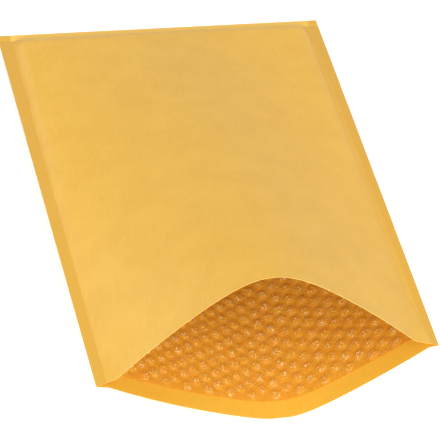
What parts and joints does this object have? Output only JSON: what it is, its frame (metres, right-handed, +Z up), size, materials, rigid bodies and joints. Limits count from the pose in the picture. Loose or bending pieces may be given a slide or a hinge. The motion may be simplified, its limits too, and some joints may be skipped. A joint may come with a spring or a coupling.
{
  "type": "padded envelope",
  "caption": "Plain kraft-paper mailer lined with air-bubble film, open along one short end, its mouth pushed open into a rounded diamond.",
  "frame": {"origin": "middle of the footprint at floor level, the envelope lying on its back", "axes": "+Z up, +Y from the mouth towards the closed end, +X to the right of someone who looks into the mouth"},
  "size_m": [0.318, 0.4572, 0.141],
  "materials": {
    "kraft_paper": "matt, faintly sheened",
    "bubble_film": "glossy clear film over kraft"
  },
  "bodies": {
    "root": {"kraft_shell": "kraft_paper", "bubble_lining": "bubble_film"}
  },
  "joints": []
}
